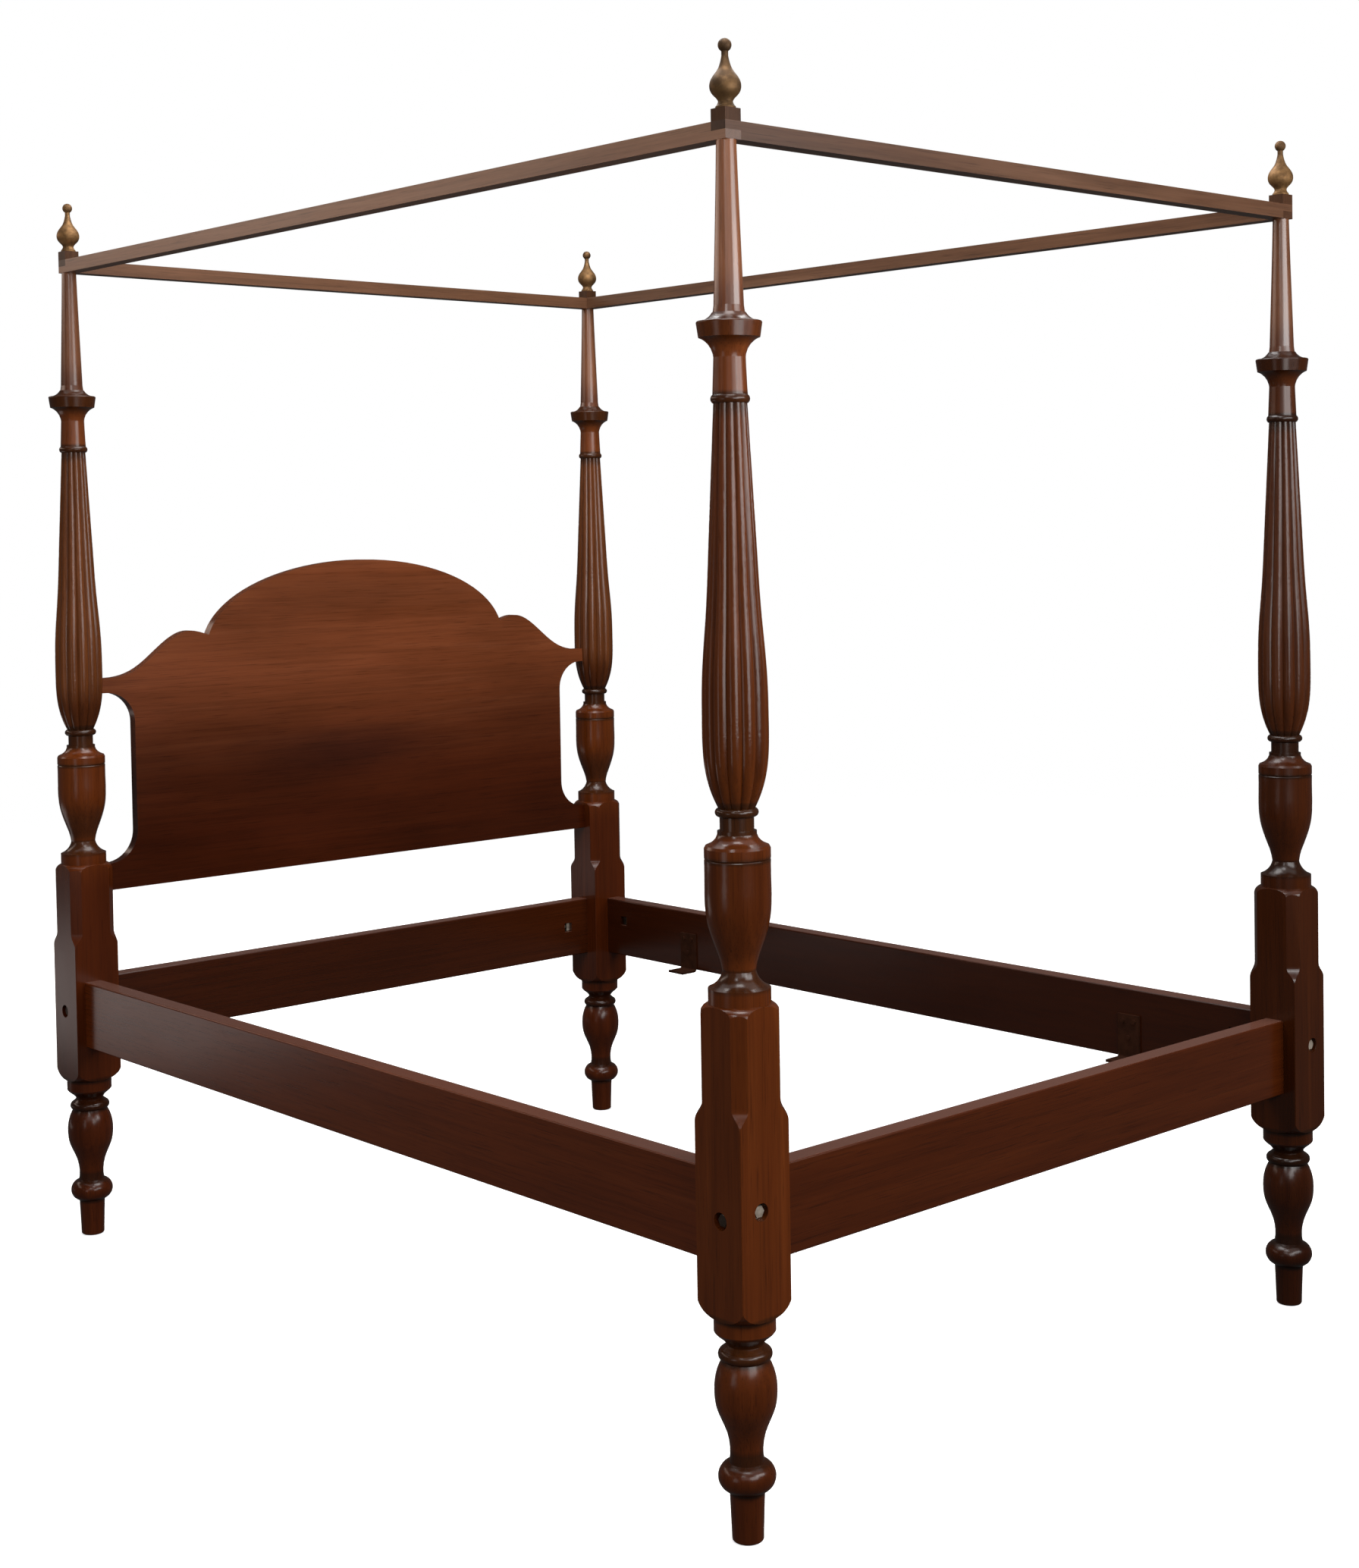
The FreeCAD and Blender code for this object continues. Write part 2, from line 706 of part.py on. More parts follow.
def hexagon(start, drive, flats, height):
    """Six-sided prism from a start point along a direction."""
    direction = FreeCAD.Vector(*drive)
    centre = FreeCAD.Vector(*start)
    first = direction.cross(up)
    second = direction.cross(first)
    radius = flats / math.sqrt(3)
    points = []
    for step in range(7):
        turn = math.pi * step / 3
        points.append(centre + first * (radius * math.cos(turn)) + second * (radius * math.sin(turn)))
    return Part.Face(Part.makePolygon(points)).extrude(direction * height)


def bed_bolt(start, drive):
    """Bolt whose head sits on a washer at the bottom of the counterbore."""
    seat = moved(start, drive, counterbore_depth - washer_thickness)
    head = hexagon(moved(seat, drive, -bolt_head_height), drive, bolt_head_flats, bolt_head_height)
    shank = rod(seat, drive, post_stock - counterbore_depth + washer_thickness + bolt_reach, bolt_radius)
    return head.fuse(shank).removeSplitter()


def bolt_washer(start, drive):
    """Washer on the floor of the counterbore."""
    seat = moved(start, drive, counterbore_depth - washer_thickness)
    return rod(seat, drive, washer_thickness, washer_radius).cut(
        rod(moved(seat, drive, -overrun), drive, washer_thickness + 2 * overrun, bolt_hole_radius))


def bolt_nut(start, drive):
    """Square nut against the wall of its pocket nearest the post."""
    centre = nut_place(start, drive)
    size = [nut_thickness if way else nut_width for way in drive]
    hole = rod(moved(centre, drive, -nut_width), drive, 2 * nut_width, bolt_radius + fit_gap)
    return box(centre, size).cut(hole)


def headboard():
    """Shaped board: arched crest, notches, rounded shoulders, ears and side cut-outs."""
    def at(x, z):
        return FreeCAD.Vector(x, half_along - headboard_thickness / 2, z)

    lower_top = block_top_level - lower_ear_drop
    bottom = lower_top - lower_ear_height
    upper_bottom = shaft_level + upper_ear_rise
    upper_top = upper_bottom + upper_ear_height
    lower_end = half_across - half_stock + ear_tenon_depth
    upper_end = half_across - shaft_belly_radius + ear_tenon_depth
    cut = inner_across - cutout_width
    ear = inner_across - upper_ear_length
    arch_base = upper_top + arch_rise - arch_height
    notch_level = upper_top + notch_rise
    notch = arch_half_width * math.sqrt(1 - ((notch_level - arch_base) / arch_height) ** 2)
    shoulder = notch + shoulder_width
    shoulder_level = upper_top + shoulder_rise
    slope = shoulder + ear_curve_share * (ear - shoulder)
    slope_level = shoulder_level - ear_drop_share * shoulder_rise
    bend = cutout_radius * (1 - math.sqrt(0.5))
    edges = [Part.LineSegment(at(-lower_end, bottom), at(lower_end, bottom)).toShape()]
    for sign in (-1, 1):
        lines = [(at(sign * lower_end, bottom), at(sign * lower_end, lower_top)),
                 (at(sign * lower_end, lower_top), at(sign * (cut + cutout_radius), lower_top)),
                 (at(sign * cut, lower_top + cutout_radius), at(sign * cut, upper_bottom - cutout_radius)),
                 (at(sign * (cut + cutout_radius), upper_bottom), at(sign * upper_end, upper_bottom)),
                 (at(sign * upper_end, upper_bottom), at(sign * upper_end, upper_top)),
                 (at(sign * upper_end, upper_top), at(sign * ear, upper_top))]
        edges += [Part.LineSegment(first, last).toShape() for first, last in lines]
        for level, way in ((lower_top, 1), (upper_bottom, -1)):
            corner = Part.Arc(at(sign * (cut + cutout_radius), level),
                              at(sign * (cut + bend), level + way * bend),
                              at(sign * cut, level + way * cutout_radius))
            edges.append(corner.toShape())
        crest = Part.BSplineCurve()
        crest.interpolate([at(sign * ear, upper_top), at(sign * slope, slope_level),
                           at(sign * shoulder, shoulder_level), at(sign * notch, notch_level)],
                          InitialTangent=FreeCAD.Vector(-sign, 0, 0),
                          FinalTangent=FreeCAD.Vector(-sign, 0, -notch_dip_share))
        edges.append(crest.toShape())
    ellipse = Part.Ellipse(at(arch_half_width, arch_base), at(0, arch_base + arch_height), at(0, arch_base))
    angle = math.asin((notch_level - arch_base) / arch_height)
    edges.append(Part.Arc(ellipse, angle, math.pi - angle).toShape())
    wire = Part.Wire(Part.sortEdges(edges)[0])
    return Part.Face(wire).extrude(FreeCAD.Vector(0, headboard_thickness, 0))


def at_corner(blank, end, side):
    """Copy of a blank moved from the Z axis to one corner."""
    piece = blank.copy()
    piece.translate(FreeCAD.Vector(sides[side] * half_across, ends[end] * half_along, 0))
    return piece


def main():
    os.makedirs("parts", exist_ok=True)
    post_blank = lower_post_blank()
    canopy_blank = canopy_post_blank()
    finial = finial_blank()
    plinth = plinth_blank()
    pin = rod((0, 0, tester_level - pin_depth), (0, 0, 1), pin_depth + finial_level - tester_level + pin_rise,
              pin_radius)
    bolts = [bolt_tool(end, side, along) for end, side in corners for along in (True, False)]
    for end, side in corners:
        save("post_" + end + "_" + side, lower_post(post_blank, end, side))
        save("canopy_post_" + end + "_" + side, at_corner(canopy_blank, end, side))
        save("finial_" + end + "_" + side, at_corner(finial, end, side))
        save("hanger_" + end + "_" + side, hanger(end, side))
    for side in sides:
        save("side_rail_" + side, bed_rail(True, sides[side]))
        save("tester_rail_" + side, tester_rail(post_spacing_along, True, sides[side], False))
    for end in ends:
        save(end + "_rail", bed_rail(False, ends[end]))
        save("tester_rail_" + end, tester_rail(post_spacing_across, False, ends[end], True))
    save("headboard", headboard())
    save("finial_plinths", Part.makeCompound([at_corner(plinth, end, side) for end, side in corners]))
    save("canopy_pins", Part.makeCompound([at_corner(pin, end, side) for end, side in corners]))
    save("bed_bolts", Part.makeCompound([bed_bolt(start, drive) for start, drive in bolts]))
    save("bolt_washers", Part.makeCompound([bolt_washer(start, drive) for start, drive in bolts]))
    save("bolt_nuts", Part.makeCompound([bolt_nut(start, drive) for start, drive in bolts]))
    save("hanger_screws", Part.makeCompound([hanger_screw(place, drive) for end, side in corners
                                             for place, drive in hanger_screw_places(end, side)]))


main()
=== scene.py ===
import bpy
from mathutils import Matrix, Vector

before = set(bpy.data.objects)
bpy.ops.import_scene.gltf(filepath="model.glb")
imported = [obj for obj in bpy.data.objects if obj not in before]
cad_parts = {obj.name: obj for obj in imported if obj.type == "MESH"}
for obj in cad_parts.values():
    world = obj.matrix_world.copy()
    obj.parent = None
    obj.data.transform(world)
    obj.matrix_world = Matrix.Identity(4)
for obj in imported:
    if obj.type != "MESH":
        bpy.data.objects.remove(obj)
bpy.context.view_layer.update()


def grey(value):
    return (value, value, value)


CORNERS = [(end, side) for end in ("foot", "head") for side in ("left", "right")]

# Camera of the photograph, in metres and pixels
IMAGE_WIDTH = 1792
IMAGE_HEIGHT = 2068
SENSOR = 36.0
CAMERA_PLACE = (-2.849, -3.307, 1.454)
CAMERA_FORWARD = (0.6763, 0.7359, -0.0327)
CAMERA_UP = (0.0340, 0.0132, 0.9993)
FOCAL_PIXELS = 2949.4
CENTRE_PIXEL = (943.5, 790.3)

# Wood colours, as linear light: dark, middle and light streaks
POST_WOOD = ((0.078, 0.0152, 0.0019), (0.103, 0.0212, 0.0028), (0.132, 0.0290, 0.0044))
RAIL_WOOD = ((0.063, 0.0112, 0.0015), (0.076, 0.0140, 0.0020), (0.090, 0.0178, 0.0029))
BOARD_WOOD = ((0.070, 0.0125, 0.0018), (0.082, 0.0154, 0.0024), (0.097, 0.0198, 0.0035))
CANOPY_WOOD = ((0.165, 0.0560, 0.0220), (0.215, 0.0780, 0.0330), (0.270, 0.1040, 0.0470))
TESTER_WOOD = ((0.100, 0.0420, 0.0205), (0.133, 0.0600, 0.0305), (0.166, 0.0790, 0.0430))
PLINTH_WOOD = ((0.034, 0.0130, 0.0055), (0.055, 0.0225, 0.0100), (0.080, 0.0340, 0.0160))

# Metal colours: light and dark patches of the patina
BRASS = ((0.192, 0.101, 0.037), (0.090, 0.045, 0.015))
STEEL = ((0.60, 0.52, 0.43), (0.34, 0.28, 0.22))
IRON = ((0.035, 0.0110, 0.0046), (0.024, 0.0075, 0.0031))

# Painted light and shade for each piece: its colours are made lighter where it should look lit and
# darker where it should look shaded
POST_LIGHT_AND_SHADE = {"foot_left": 1.05, "foot_right": 0.41, "head_left": 1.25, "head_right": 1.18}
CANOPY_LIGHT_AND_SHADE = {"foot_left": 1.14, "foot_right": 0.60, "head_left": 0.76, "head_right": 0.84}
FINIAL_LIGHT_AND_SHADE = {"foot_left": 0.72, "foot_right": 1.20, "head_left": 1.35, "head_right": 1.20}
TESTER_LIGHT_AND_SHADE = {"left": 1.70, "right": 0.98, "foot": 0.74, "head": 0.95}
SIDE_RAIL_LIGHT_AND_SHADE = {"left": 1.38, "right": 0.44}
END_RAIL_LIGHT_AND_SHADE = {"foot": 0.84, "head": 0.56}

# Tints that a finish is multiplied by
CLEAN = (1.0, 1.0, 1.0)
# Painted shade in the hollows of the turning, partly dirt
SHADE_AND_GRIME = (0.46, 0.60, 0.95)
# Painted shade: darker feet, blocks, urns, bands and shafts
SHADED_FOOT = (0.76, 0.72, 0.76)
SHADED_BLOCK = (0.60, 0.52, 0.56)
SHADED_URN = (0.74, 0.72, 0.64)
SHADED_BAND = (0.58, 0.66, 0.95)
SHADED_SHAFT = (0.84, 0.89, 0.96)
# Painted sheen on the shafts
SHEEN_SHAFT = (1.06, 1.45, 2.60)
SHEEN_SIDE_SHAFT = (1.20, 1.40, 2.20)
# Painted light and sheen on the neck, painted shade on the collars
LIT_NECK = (1.28, 1.50, 2.40)
SHADED_COLLAR = (0.74, 0.84, 1.00)
SHADED_HEAD_COLLAR = (0.62, 0.70, 0.85)
CANOPY_BASE = (0.58, 0.50, 0.50)
# Painted shade low on the headboard and painted sheen at its top
SHADED_BOARD_FOOT = (0.60, 0.53, 0.54)
SHEEN_BOARD_TOP = (2.25, 3.20, 6.60)
FINIAL_TIP = (0.80, 0.80, 0.85)
END_GRAIN = (0.45, 0.42, 0.40)
# Painted shade on the bolt heads that face sideways
SHADED_BOLT_SIDES = (0.10, 0.08, 0.07)

# Tints that change with height: levels in metres and the tint at each. On the posts and the
# headboard they are painted light, shade and sheen
# Painted shade on the feet, darker towards the floor
FOOT_SHADE = ((0.05, SHADED_FOOT), (0.32, CLEAN))
# Painted shade on the near post's urn and shaft
NEAR_POST_SHADE = FOOT_SHADE + (
    (0.82, CLEAN), (0.86, SHADED_URN), (0.97, SHADED_URN), (1.00, CLEAN),
    (1.06, SHADED_SHAFT), (1.60, SHADED_SHAFT), (1.64, CLEAN))
# Painted shade on the feet and painted sheen on the shaft of the side post
SIDE_POST_SHADE_AND_SHEEN = FOOT_SHADE + ((1.02, CLEAN), (1.08, SHEEN_SIDE_SHAFT), (1.60, SHEEN_SIDE_SHAFT), (1.64, CLEAN))
# Painted shade on the blocks, bands and collars and painted sheen on the shafts of the head posts
HEAD_POST_SHADE_AND_SHEEN = (
    (0.72, SHADED_BLOCK), (0.82, CLEAN), (0.835, SHADED_BAND), (0.86, SHADED_BAND), (0.92, CLEAN),
    (1.02, CLEAN), (1.07, SHADED_BAND), (1.09, SHADED_BAND), (1.16, SHEEN_SHAFT), (1.60, SHEEN_SHAFT),
    (1.64, CLEAN), (1.700, CLEAN), (1.722, SHADED_HEAD_COLLAR))
# Painted shade and sheen for each post
POST_SHADE_AND_SHEEN = {"foot_left": NEAR_POST_SHADE, "foot_right": SIDE_POST_SHADE_AND_SHEEN,
              "head_left": HEAD_POST_SHADE_AND_SHEEN, "head_right": HEAD_POST_SHADE_AND_SHEEN}
# Painted shade and dirt at the neck ring, painted light on the neck, painted shade on the collar
TOP_LIGHT_SHADE_AND_GRIME = (
    (1.600, CLEAN), (1.624, SHADE_AND_GRIME), (1.640, SHADE_AND_GRIME), (1.646, LIT_NECK), (1.702, LIT_NECK),
    (1.718, SHADED_COLLAR), (1.7545, SHADED_COLLAR))
CANOPY_FADE = ((1.765, CANOPY_BASE), (1.83, CLEAN))
# Painted shade towards the bottom of the headboard and painted sheen at its top
BOARD_SHADE_AND_SHEEN = ((0.83, SHADED_BOARD_FOOT), (1.38, SHEEN_BOARD_TOP))
BRASS_FADE = ((2.088, CLEAN), (2.112, FINIAL_TIP))

# Painted shade in the hollows of the turning, and dirt on its rings: levels where each band starts
# and ends
SHADE_AND_GRIME_BANDS = ((0.071, 0.077), (0.112, 0.130), (0.261, 0.298), (0.324, 0.330),
               (0.798, 0.822), (0.980, 0.983), (1.017, 1.060))
SHADE_AND_GRIME_EDGE = 0.005

# Dark worn patch of the headboard: tint, centre and half size across and up,
# and how far out it is full and gone, in half sizes
STAIN = (0.50, 0.48, 0.62)
STAIN_CENTRE = (-0.02, 0.960)
STAIN_REACH = (0.30, 0.070)
STAIN_FULL = 0.7
STAIN_GONE = 1.8

# Dust and painted sheen on faces that look up: colour, where it starts and is full, and its share
RAIL_DUST_AND_SHEEN = (0.135, 0.0560, 0.0380)
DUST_AND_SHEEN_FACING = (0.90, 0.98)
DUST_AND_SHEEN_SHARE = 0.85

# Where the tint of faces square to an axis starts and is full
END_FACING = (0.85, 0.95)

# Noise of the wood: stretch along and across the grain, then the noise's own settings
FIGURE = {"along": 1.3, "across": 26.0, "Detail": 7.0, "Roughness": 0.62, "Distortion": 0.5}
STREAKS = {"along": 3.0, "across": 150.0, "Detail": 4.0, "Roughness": 0.6}
PORES = {"along": 14.0, "across": 620.0, "Detail": 2.0, "Roughness": 0.5}
CLOUD = {"along": 1.6, "across": 4.5, "Detail": 3.0, "Roughness": 0.5}
SEED_STEPS = (1.37, 2.11, 0.73)

# How that noise becomes colour: levels and tints, and the share of each layer
FIGURE_LEVELS = (0.30, 0.50, 0.72)
STREAK_STOPS = ((0.34, grey(0.78)), (0.58, CLEAN))
PORE_STOPS = ((0.30, grey(0.60)), (0.42, CLEAN))
CLOUD_LEVELS = (0.22, 0.78)
STREAK_SHARE = 0.75
PORE_SHARE = 0.80
CLOUD_SHARE = 0.85
WOOD_MOTTLE = (0.78, 1.14)
BOARD_MOTTLE = (0.60, 1.38)

# Gloss of the wood, and roughness with its change over the clouds
WOOD_ROUGH = 0.24
TESTER_ROUGH = 0.36
PLINTH_ROUGH = 0.45
ROUGH_LEVELS = (0.2, 0.8)
ROUGH_CHANGE = (-0.05, 0.03)
POST_GLOSS = 0.36
CANOPY_GLOSS = 0.70
RAIL_GLOSS = 0.45
BOARD_GLOSS = 0.30
PLINTH_GLOSS = 0.12
TESTER_GLOSS = {"left": 0.46, "right": 0.20, "foot": 0.20, "head": 0.20}
PORE_BUMP = {"Strength": 0.10, "Distance": 0.0004}

# Seed of the first piece of each kind of wood
POST_SEED = 1.0
CANOPY_SEED = 11.0
SIDE_RAIL_SEED = 21.0
TESTER_SIDE_SEED = 31.0
END_RAIL_SEED = 41.0
TESTER_END_SEED = 51.0
BOARD_SEED = 61.0
PLINTH_SEED = 71.0

# Noise of the metals, and how it changes colour and roughness
PATINA = {"Detail": 6.0, "Roughness": 0.62}
METAL_GRAIN = {"Detail": 2.0, "Roughness": 0.5}
METAL_GRAIN_FINER = 12.0
PATINA_LEVELS = (0.36, 0.62)
METAL_ROUGH_LEVELS = (0.3, 0.7)
METAL_ROUGH_CHANGE = (0.14, -0.06)
METAL_BUMP = {"Strength": 0.12, "Distance": 0.0003}
METAL_GLOSS = 0.5
STEEL_FINISH = {"scale": 60.0, "rough": 0.42, "seed": 5.0, "metallic": 0.6, "shaded_sides": SHADED_BOLT_SIDES}
IRON_FINISH = {"scale": 40.0, "rough": 0.78, "seed": 7.0, "metallic": 0.0, "gloss": 0.08}
BRASS_FINISH = {"scale": 45.0, "rough": 0.55, "seed": 3.0, "metallic": 0.65, "fade": BRASS_FADE}

# Floor, in metres from its middle: it is shaded, then white, then fades out
FLOOR_REACH = 8.0
FLOOR_DROP = 0.0005
FLOOR_SHADED = 1.2
FLOOR_WHITE = 3.4
FLOOR_SOLID = 3.0
FLOOR_GLOW = 0.62
FLOOR_ROUGH = 0.9
FLOOR_NOISE = {"Scale": 0.6, "Detail": 3.0}
FLOOR_STOPS = ((0.3, grey(0.93)), (0.7, grey(0.95)))

# Lights: name, place, target, width and height in metres, power in watts and colour
WHITE = (1.0, 1.0, 1.0)
ROOM_LIGHT = 0.07
LAMPS = (
    ("low_window", (-1.0, -2.9, 1.50), (-1.0, 0.2, 1.3), (1.2, 1.0), 19.0, WHITE),
    ("high_window", (0.30, -2.9, 2.02), (0.30, 0.2, 1.7), (2.0, 0.9), 39.0, WHITE),
    ("left_lamp", (-2.65, -2.0, 2.9), (-0.6, -0.8, 0.9), (0.5, 0.5), 8.0, WHITE),
    ("top_softbox", (0.0, 0.0, 3.2), (0.0, 0.4, 0.8), (1.8, 1.4), 48.0, WHITE))
# Fills light the object and don't show in its gloss
FILLS = (
    ("foot_fill", (2.1, -3.1, 2.4), (0.0, 0.2, 1.1), (2.0, 1.2), 60.0, WHITE),
    ("left_fill", (-3.8, -0.3, 2.3), (-0.7, 0.0, 1.1), (1.2, 1.6), 44.0, WHITE),
    ("back_fill", (0.8, 4.6, 2.4), (0.0, 0.8, 1.0), (3.0, 2.0), 110.0, WHITE))
# Cards show in the gloss only
CARDS = (
    ("floor_card", (-1.95, 3.3, 0.02), (-1.95, 3.3, 1.0), (0.95, 2.4), 7.6, (1.0, 0.88, 0.84)),
    ("tester_card", (-2.85, 3.3, 2.72), (-0.7, 0.3, 2.1), (4.6, 0.6), 25.0, (1.0, 0.80, 0.68)),
    ("lamp_card", (-0.95, -1.35, 3.3), (-0.9, -1.3, 0.0), (0.9, 0.9), 24.0, WHITE),
    ("door_card", (-3.6, -1.0, 0.9), (-0.7, -1.0, 0.9), (0.8, 1.2), 4.0, WHITE),
    ("front_card", (-3.4, -4.0, 3.1), (-0.3, -0.5, 0.8), (3.6, 1.8), 22.0, WHITE),
    ("ceiling_card", (0.0, -0.4, 3.5), (0.0, -0.4, 0.0), (4.0, 5.0), 60.0, WHITE))


def add_node(tree, kind, inputs=None, **settings):
    """New node with its settings, and its inputs linked or set."""
    made = tree.nodes.new(kind)
    for name, value in settings.items():
        setattr(made, name, value)
    for name, value in (inputs or {}).items():
        if isinstance(value, bpy.types.NodeSocket):
            tree.links.new(value, made.inputs[name])
        else:
            made.inputs[name].default_value = value
    return made


def add_ramp(tree, factor, stops):
    """Colour that eases from stop to stop, each a place and a colour."""
    ramp = add_node(tree, "ShaderNodeValToRGB", {"Fac": factor})
    ramp.color_ramp.interpolation = "EASE"
    elements = ramp.color_ramp.elements
    while len(elements) < len(stops):
        elements.new(0.5)
    for element, (place, colour) in zip(elements, stops):
        element.position = place
        element.color = (*colour, 1.0)
    return ramp.outputs["Color"]


def map_range(tree, value, source, target=(0.0, 1.0), kind="LINEAR"):
    """Value carried from one range to another and held at its ends."""
    inputs = {"Value": value, "From Min": source[0], "From Max": source[1],
              "To Min": target[0], "To Max": target[1]}
    return add_node(tree, "ShaderNodeMapRange", inputs, interpolation_type=kind).outputs["Result"]


def object_place(tree):
    return add_node(tree, "ShaderNodeTexCoord").outputs["Object"]


def add_mapping(tree, place, **inputs):
    return add_node(tree, "ShaderNodeMapping", {"Vector": place, **inputs}).outputs["Vector"]


def add_noise(tree, place, **inputs):
    return add_node(tree, "ShaderNodeTexNoise", {"Vector": place, **inputs}).outputs["Fac"]


def axis_part(tree, vector, axis):
    return add_node(tree, "ShaderNodeSeparateXYZ", {"Vector": vector}).outputs[axis]


def true_normal(tree):
    return add_node(tree, "ShaderNodeNewGeometry").outputs["True Normal"]


def multiplied(tree, colour, layer, share=1.0):
    """Colour times a layer, as far as the share says."""
    inputs = {"Fac": share, "Color1": colour, "Color2": layer}
    return add_node(tree, "ShaderNodeMixRGB", inputs, blend_type="MULTIPLY").outputs["Color"]


def faded(tree, place, colour, stops):
    """Colour times a tint that changes with height."""
    low, high = stops[0][0], stops[-1][0]
    share = map_range(tree, axis_part(tree, place, "Z"), (low, high))
    tint = add_ramp(tree, share, [((level - low) / (high - low), shade) for level, shade in stops])
    return multiplied(tree, colour, tint)


def stained(tree, place, colour, uneven):
    """Colour with the dark worn patch across the middle of the headboard."""
    scale = (1.0 / STAIN_REACH[0], 0.0, 1.0 / STAIN_REACH[1])
    offset = (-STAIN_CENTRE[0] * scale[0], 0.0, -STAIN_CENTRE[1] * scale[2])
    spot = add_mapping(tree, place, Location=offset, Scale=scale)
    away = add_node(tree, "ShaderNodeVectorMath", {"Vector": spot}, operation="LENGTH")
    ragged = add_node(tree, "ShaderNodeMath", {0: away.outputs["Value"], 1: uneven},
                      operation="ADD").outputs["Value"]
    share = map_range(tree, ragged, (STAIN_FULL, STAIN_GONE))
    return multiplied(tree, colour, add_ramp(tree, share, [(0.0, STAIN), (1.0, CLEAN)]))


def ends_shaded(tree, colour, axis, tint):
    """Colour times a tint on the faces square to an axis."""
    facing = axis_part(tree, true_normal(tree), axis)
    level = add_node(tree, "ShaderNodeMath", {0: facing}, operation="ABSOLUTE").outputs["Value"]
    return multiplied(tree, colour, add_ramp(tree, level, list(zip(END_FACING, (CLEAN, tint)))))


def with_dust_and_sheen(tree, colour, dust_and_sheen):
    """Colour paled on the faces that look up, by a dusty film and painted sheen."""
    upward = axis_part(tree, true_normal(tree), "Z")
    lying = map_range(tree, upward, DUST_AND_SHEEN_FACING, (0.0, DUST_AND_SHEEN_SHARE))
    return add_node(tree, "ShaderNodeMixRGB", {"Fac": lying, "Color1": colour,
                                               "Color2": (*dust_and_sheen, 1.0)}).outputs["Color"]


def start_material(name):
    """Empty node material with its shader joined to its output."""
    material = bpy.data.materials.new(name)
    material.use_nodes = True
    tree = material.node_tree
    tree.nodes.clear()
    shader = add_node(tree, "ShaderNodeBsdfPrincipled")
    output = add_node(tree, "ShaderNodeOutputMaterial")
    tree.links.new(shader.outputs["BSDF"], output.inputs["Surface"])
    return material, tree, shader


def add_bump(tree, shader, height, bump):
    made = add_node(tree, "ShaderNodeBump", {"Height": height, **bump})
    tree.links.new(made.outputs["Normal"], shader.inputs["Normal"])


def grain_noise(tree, place, grain, seed, along, across, **settings):
    """Noise drawn out along the grain."""
    shift = tuple(seed * step for step in SEED_STEPS)
    stretch = tuple(along if axis == grain else across for axis in "XYZ")
    vector = add_mapping(tree, place, Location=shift, Scale=stretch)
    return add_noise(tree, vector, Scale=1.0, **settings)


def wood(name, grain, colours, seed, gloss, rough=WOOD_ROUGH, mottle=WOOD_MOTTLE, fades=(),
         stain=False, ends=None, dust_and_sheen=None):
    """Lacquered wood with its grain along one axis."""
    material, tree, shader = start_material(name)
    place = object_place(tree)
    figure, streaks, pores, cloud = (grain_noise(tree, place, grain, seed, **noise)
                                     for noise in (FIGURE, STREAKS, PORES, CLOUD))
    dots = add_ramp(tree, pores, PORE_STOPS)
    mottled = list(zip(CLOUD_LEVELS, (grey(value) for value in mottle)))
    colour = add_ramp(tree, figure, list(zip(FIGURE_LEVELS, colours)))
    colour = multiplied(tree, colour, add_ramp(tree, streaks, STREAK_STOPS), STREAK_SHARE)
    colour = multiplied(tree, colour, dots, PORE_SHARE)
    colour = multiplied(tree, colour, add_ramp(tree, cloud, mottled), CLOUD_SHARE)
    for stops in fades:
        colour = faded(tree, place, colour, stops)
    if stain:
        colour = stained(tree, place, colour, cloud)
    if ends:
        colour = ends_shaded(tree, colour, grain, ends)
    if dust_and_sheen:
        colour = with_dust_and_sheen(tree, colour, dust_and_sheen)
    worn = map_range(tree, cloud, ROUGH_LEVELS, [rough + change for change in ROUGH_CHANGE],
                     "SMOOTHSTEP")
    tree.links.new(colour, shader.inputs["Base Color"])
    tree.links.new(worn, shader.inputs["Roughness"])
    add_bump(tree, shader, dots, PORE_BUMP)
    shader.inputs["Specular IOR Level"].default_value = gloss
    return material


def metal(name, light, dark, scale, rough, seed, metallic, gloss=METAL_GLOSS, fade=None,
          shaded_sides=None):
    """Metal with a patchy patina, and, if asked, painted shade on the faces that look sideways."""
    material, tree, shader = start_material(name)
    place = object_place(tree)
    spot = add_mapping(tree, place, Location=grey(seed))
    patina = add_noise(tree, spot, Scale=scale, **PATINA)
    grainy = add_noise(tree, spot, Scale=scale * METAL_GRAIN_FINER, **METAL_GRAIN)
    colour = add_ramp(tree, patina, list(zip(PATINA_LEVELS, (dark, light))))
    if fade:
        colour = faded(tree, place, colour, fade)
    if shaded_sides:
        colour = ends_shaded(tree, colour, "X", shaded_sides)
    worn = map_range(tree, patina, METAL_ROUGH_LEVELS,
                     [rough + change for change in METAL_ROUGH_CHANGE])
    tree.links.new(colour, shader.inputs["Base Color"])
    tree.links.new(worn, shader.inputs["Roughness"])
    add_bump(tree, shader, grainy, METAL_BUMP)
    shader.inputs["Metallic"].default_value = metallic
    shader.inputs["Specular IOR Level"].default_value = gloss
    return material


def toned(colours, tone):
    return [tuple(tone * part for part in colour) for colour in colours]


def shade_and_grime_stops():
    """Tint with height: painted shade in the hollows of the turned posts, and dirt on their rings.
    """
    stops = []
    for start, end in SHADE_AND_GRIME_BANDS:
        stops += [(start - SHADE_AND_GRIME_EDGE, CLEAN), (start, SHADE_AND_GRIME),
                  (end, SHADE_AND_GRIME), (end + SHADE_AND_GRIME_EDGE, CLEAN)]
    return stops


